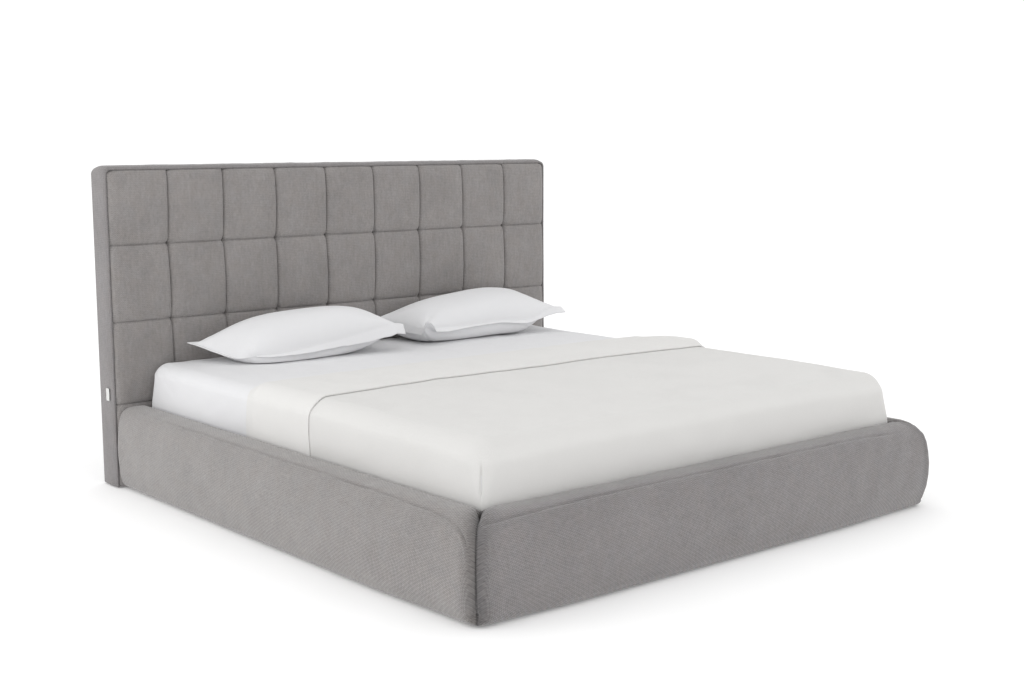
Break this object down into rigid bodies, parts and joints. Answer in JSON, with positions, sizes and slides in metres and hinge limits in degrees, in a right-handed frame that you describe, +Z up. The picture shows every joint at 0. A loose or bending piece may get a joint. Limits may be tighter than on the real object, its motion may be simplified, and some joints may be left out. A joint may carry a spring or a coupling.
{
  "type": "upholstered headboard bed",
  "caption": "Upholstered double bed with a tufted headboard, padded low rails, a lift-up slatted platform over a storage base, mattress, bedding and pillows.",
  "frame": {"origin": "on the floor, at the centre of the bed's bounding box", "axes": "+Z up, +Y towards the headboard, +X to the right seen from the foot"},
  "size_m": [2.07, 2.248, 1.181],
  "materials": {
    "upholstery": "woven grey upholstery cloth over foam",
    "back_cloth": "plain grey cloth",
    "label": "blank white woven label",
    "timber": "plain softwood and board",
    "hardboard": "hardboard",
    "slat_wood": "laminated beech or birch",
    "plastic": "black moulded plastic",
    "zinc_steel": "zinc plated",
    "black_steel": "black powder coat",
    "ticking": "knitted mattress cover",
    "sheet_cotton": "white cotton",
    "cover_cotton": "off-white cotton"
  },
  "bodies": {
    "root": {"base_battens": "timber", "base_centre_bearer": "timber", "base_panel_left": "hardboard", "base_panel_right": "hardboard", "bracket_bolts": "zinc_steel", "corner_bracket_left": "zinc_steel", "corner_bracket_right": "zinc_steel", "foot_rail": "timber", "foot_rail_pad": "upholstery", "glides": "plastic", "head_bracket_left": "zinc_steel", "head_bracket_right": "zinc_steel", "headboard_back_cover": "back_cloth", "headboard_back_panel": "hardboard", "headboard_border": "upholstery", "headboard_bottom_bar": "timber", "headboard_front_panel": "timber", "headboard_middle_bar": "timber", "headboard_pad": "upholstery", "headboard_piping": "upholstery", "headboard_post_left": "timber", "headboard_post_right": "timber", "headboard_tag": "label", "headboard_top_bar": "timber", "lift_plate_left": "black_steel", "lift_plate_right": "black_steel", "lift_plate_screws": "zinc_steel", "lower_pivot_pins": "zinc_steel", "platform_battens": "timber", "side_rail_left": "timber", "side_rail_pad_left": "upholstery", "side_rail_pad_right": "upholstery", "side_rail_right": "timber"},
    "rear_links": {"rear_link_left": "black_steel", "rear_link_right": "black_steel"},
    "platform": {"platform_plate_left": "black_steel", "platform_plate_right": "black_steel", "upper_pivot_pins": "zinc_steel", "platform_side_tube_left": "black_steel", "platform_side_tube_right": "black_steel", "tube_end_caps": "plastic", "platform_head_tube": "black_steel", "platform_middle_tube": "black_steel", "platform_foot_tube": "black_steel", "platform_centre_tube": "black_steel", "slats_left": "slat_wood", "slats_right": "slat_wood", "slat_holders": "plastic", "mattress": "ticking", "fitted_sheet": "sheet_cotton", "top_sheet": "cover_cotton", "coverlet": "cover_cotton", "pillow_left": "sheet_cotton", "pillow_right": "sheet_cotton"},
    "front_links": {"front_link_left": "black_steel", "front_link_right": "black_steel"},
    "strut_cylinders": {"strut_cylinder_left": "black_steel", "strut_cylinder_right": "black_steel"},
    "strut_rods": {"strut_rod_left": "zinc_steel", "strut_rod_right": "zinc_steel"}
  },
  "joints": [
    {"name": "bed_lift", "type": "hinge", "parent": "root", "child": "rear_links", "pos_m": [0, 0.25, 0.096], "axis": [1, 0, 0], "range_deg": [0, 54.5]},
    {"name": "platform_tilt", "type": "hinge", "parent": "rear_links", "child": "platform", "pos_m": [0, 0.522, 0.222], "axis": [-1, 0, 0], "range_deg": [0, 89.6]},
    {"name": "front_link_swing", "type": "hinge", "parent": "root", "child": "front_links", "pos_m": [0, 0.165, 0.055], "axis": [1, 0, 0], "range_deg": [0, 49.58]},
    {"name": "strut_swing", "type": "hinge", "parent": "root", "child": "strut_cylinders", "pos_m": [0, 0.473, 0.045], "axis": [1, 0, 0], "range_deg": [0, 54.36]},
    {"name": "strut_slide", "type": "slide", "parent": "strut_cylinders", "child": "strut_rods", "axis": [0, 0.607, 0.7947], "range_m": [0, 0.08166]}
  ],
  "couplings": [
    {"joint": "platform_tilt", "follows": "bed_lift", "ratio": 1.6422},
    {"joint": "front_link_swing", "follows": "bed_lift", "ratio": 0.90786},
    {"joint": "strut_swing", "follows": "bed_lift", "ratio": 0.99562},
    {"joint": "strut_slide", "follows": "bed_lift", "m_per_rad": 0.08564}
  ]
}
